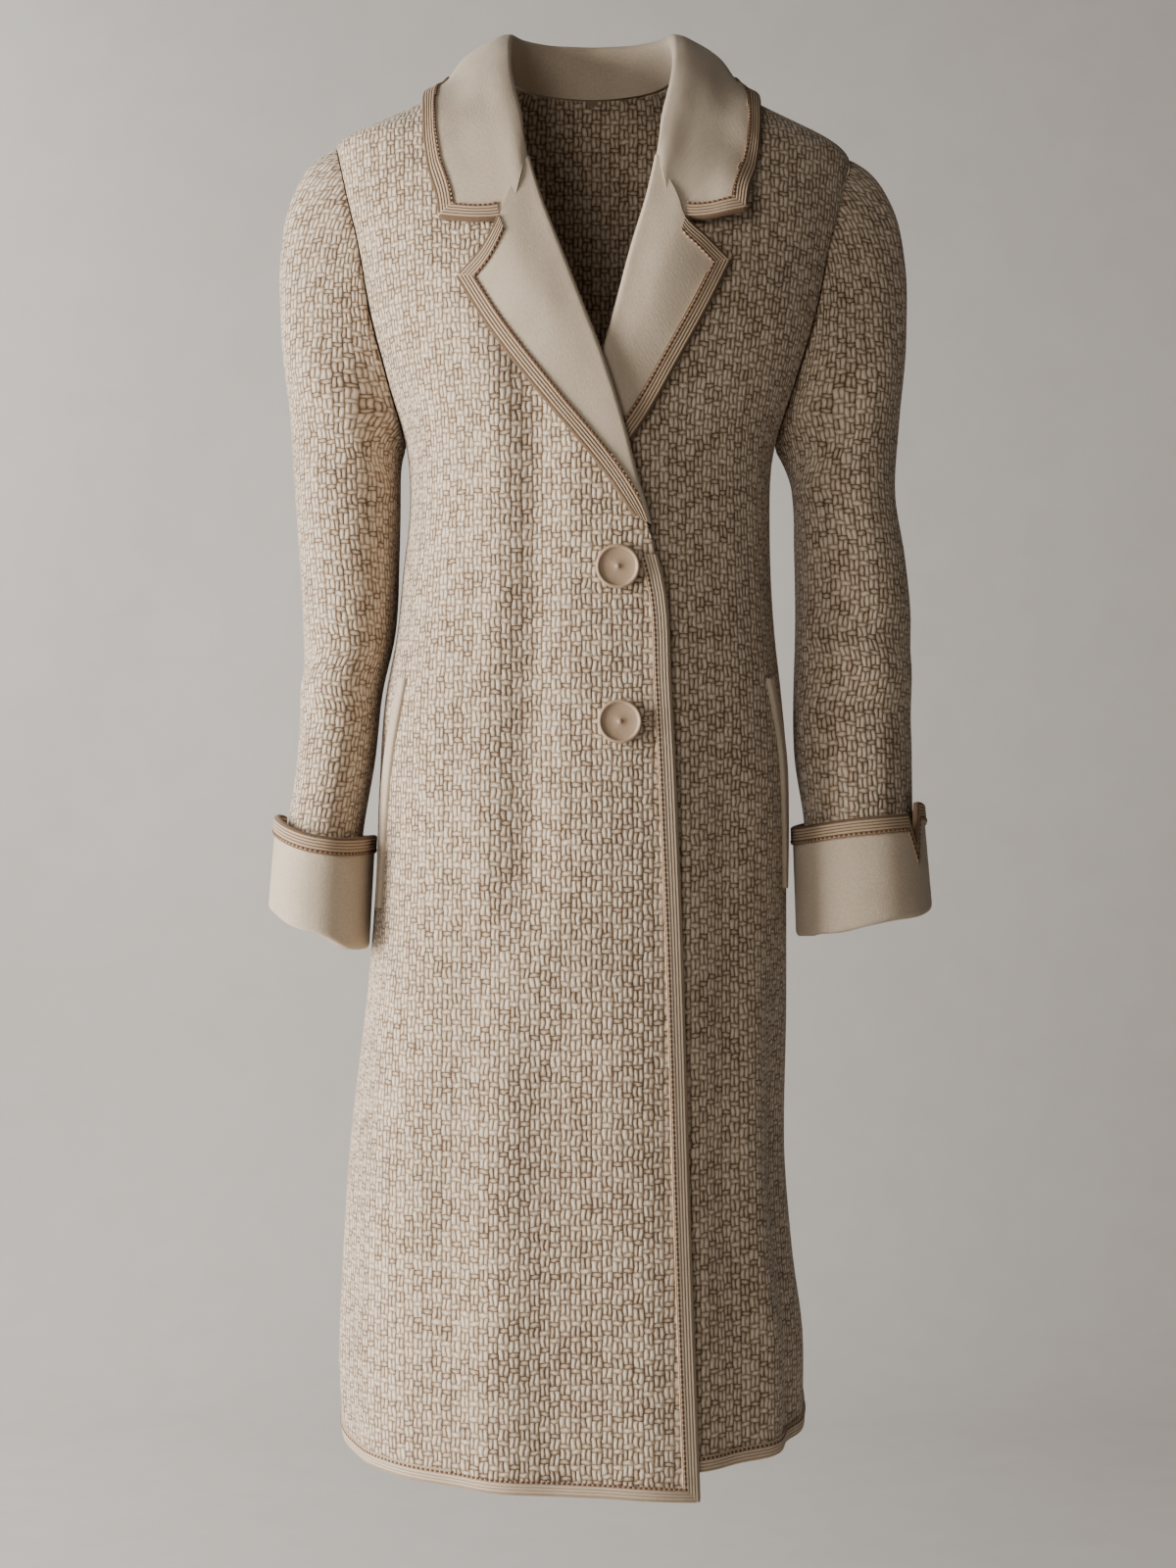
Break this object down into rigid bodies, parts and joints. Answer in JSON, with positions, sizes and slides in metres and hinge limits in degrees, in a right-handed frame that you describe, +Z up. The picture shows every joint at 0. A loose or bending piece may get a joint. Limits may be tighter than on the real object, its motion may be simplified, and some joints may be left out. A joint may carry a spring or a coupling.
{
  "type": "wool coat",
  "caption": "Long single-breasted wool coat in worn shape, hollow, with notched collar, turned-back cuffs, slanted pockets and taped edges.",
  "frame": {"origin": "middle of the neck base, between the points where the shoulder seams meet the neck", "axes": "+Z up, the front faces -Y, the wearer's left is +X"},
  "size_m": [0.5123, 0.3099, 1.1252],
  "materials": {
    "wool_cloth": "chunky cream and beige basket-weave wool with brown gaps, soft and slightly fuzzy",
    "facing_cloth": "smooth ivory fine wool cloth",
    "binding_tape": "tan lengthwise-ribbed tape with brown running stitches",
    "button": "matte tan, raised rim and small centre dot"
  },
  "bodies": {
    "root": {"front_right": "wool_cloth", "front_left": "wool_cloth", "back": "wool_cloth", "sleeve_top_right": "wool_cloth", "sleeve_top_left": "wool_cloth", "sleeve_under_right": "wool_cloth", "sleeve_under_left": "wool_cloth", "cuff_right": "facing_cloth", "cuff_left": "facing_cloth", "collar": "facing_cloth", "lapel_right": "facing_cloth", "lapel_left": "facing_cloth", "welt_right": "facing_cloth", "welt_left": "facing_cloth", "binding_front_right": "binding_tape", "binding_front_left": "binding_tape", "binding_back_hem": "binding_tape", "binding_collar": "binding_tape", "binding_lapel_right": "binding_tape", "binding_lapel_left": "binding_tape", "binding_cuff_right": "binding_tape", "binding_cuff_left": "binding_tape", "button_upper": "button", "button_lower": "button"}
  },
  "joints": []
}
